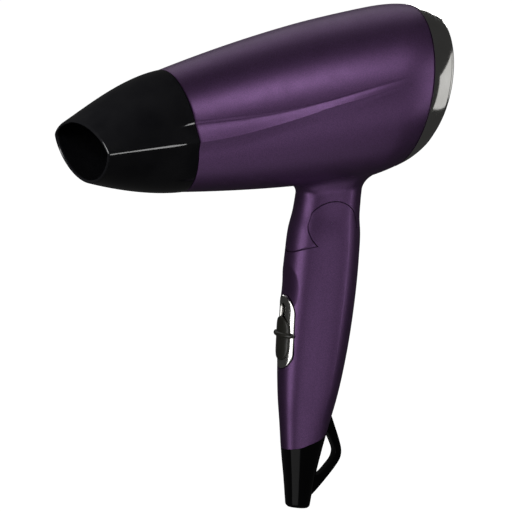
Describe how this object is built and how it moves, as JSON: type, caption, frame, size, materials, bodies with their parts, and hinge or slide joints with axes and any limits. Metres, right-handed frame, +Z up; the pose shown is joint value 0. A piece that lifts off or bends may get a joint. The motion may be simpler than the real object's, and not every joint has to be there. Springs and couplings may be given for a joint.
{
  "type": "travel hair dryer",
  "caption": "Folding travel hair dryer with a round barrel, a pull-off concentrator nozzle, a chrome intake ring, a slide switch and a hanging loop.",
  "frame": {"origin": "centre of the cord inlet's mouth at the handle's foot", "axes": "+Z up with the handle open, -X the way the air leaves, +Y the dryer's right-hand side"},
  "size_m": [0.1989, 0.0822, 0.2448],
  "materials": {
    "purple_shell": "satin metallic paint",
    "gloss_black": "high gloss",
    "satin_black": "fine moulded",
    "chrome_trim": "polished",
    "switch_dark": "satin",
    "mica": "flaky sheet",
    "resistance_wire": "drawn wire",
    "cut_out": "pressed",
    "ceramic_white": "matte",
    "steel": "bright zinc",
    "magnet": "sintered",
    "bronze": "sintered",
    "copper_winding": "varnished windings",
    "circuit_board": "solder mask",
    "white_plastic": "smooth",
    "capacitor": "moulded box",
    "gland_rubber": "matte"
  },
  "bodies": {
    "barrel": {"barrel_shell_left": "purple_shell", "barrel_shell_right": "purple_shell", "rear_trim_ring": "chrome_trim", "rear_grille": "satin_black", "outlet_collar": "satin_black", "outlet_grille": "satin_black", "mica_sleeve": "mica", "mica_board_upright": "mica", "mica_board_level": "mica", "heater_coils": "resistance_wire", "thermostat": "cut_out", "thermal_fuse": "ceramic_white", "fan_duct": "satin_black", "motor_can": "steel", "motor_end_cap": "satin_black", "motor_magnets": "magnet", "motor_bearings": "bronze", "rectifier_board": "circuit_board", "rectifier_diodes": "satin_black", "barrel_screws": "steel", "hinge_bushes": "white_plastic"},
    "handle": {"hinge_pins": "steel", "detent_plate": "steel", "detent_spring": "steel", "handle_shell_left": "purple_shell", "handle_shell_right": "purple_shell", "switch_bezel": "chrome_trim", "switch_body": "satin_black", "switch_contacts": "bronze", "suppressor_capacitor": "capacitor", "cord_clamp": "satin_black", "clamp_screws": "steel", "cord_gland": "gland_rubber", "end_cap": "gloss_black", "handle_screws": "steel"},
    "switch": {"switch_slider": "switch_dark", "switch_carriage": "white_plastic"},
    "rotor": {"motor_shaft": "steel", "armature": "copper_winding", "commutator": "bronze", "fan": "satin_black"},
    "nozzle": {"concentrator_nozzle": "gloss_black"}
  },
  "joints": [
    {"name": "handle_fold", "type": "hinge", "parent": "barrel", "child": "handle", "pos_m": [0.02886, 0, 0.14108], "axis": [0, 1, 0], "range_deg": [0, 75]},
    {"name": "switch_slide", "type": "slide", "parent": "handle", "child": "switch", "axis": [0.1564, 0, 0.9877], "range_m": [0, 0.0075]},
    {"name": "fan_spin", "type": "hinge", "parent": "barrel", "child": "rotor", "pos_m": [0.02886, 0, 0.20288], "axis": [1, 0, 0], "continuous": true},
    {"name": "nozzle_pull", "type": "slide", "parent": "barrel", "child": "nozzle", "axis": [-1, 0, 0], "range_m": [0, 0.025]}
  ]
}
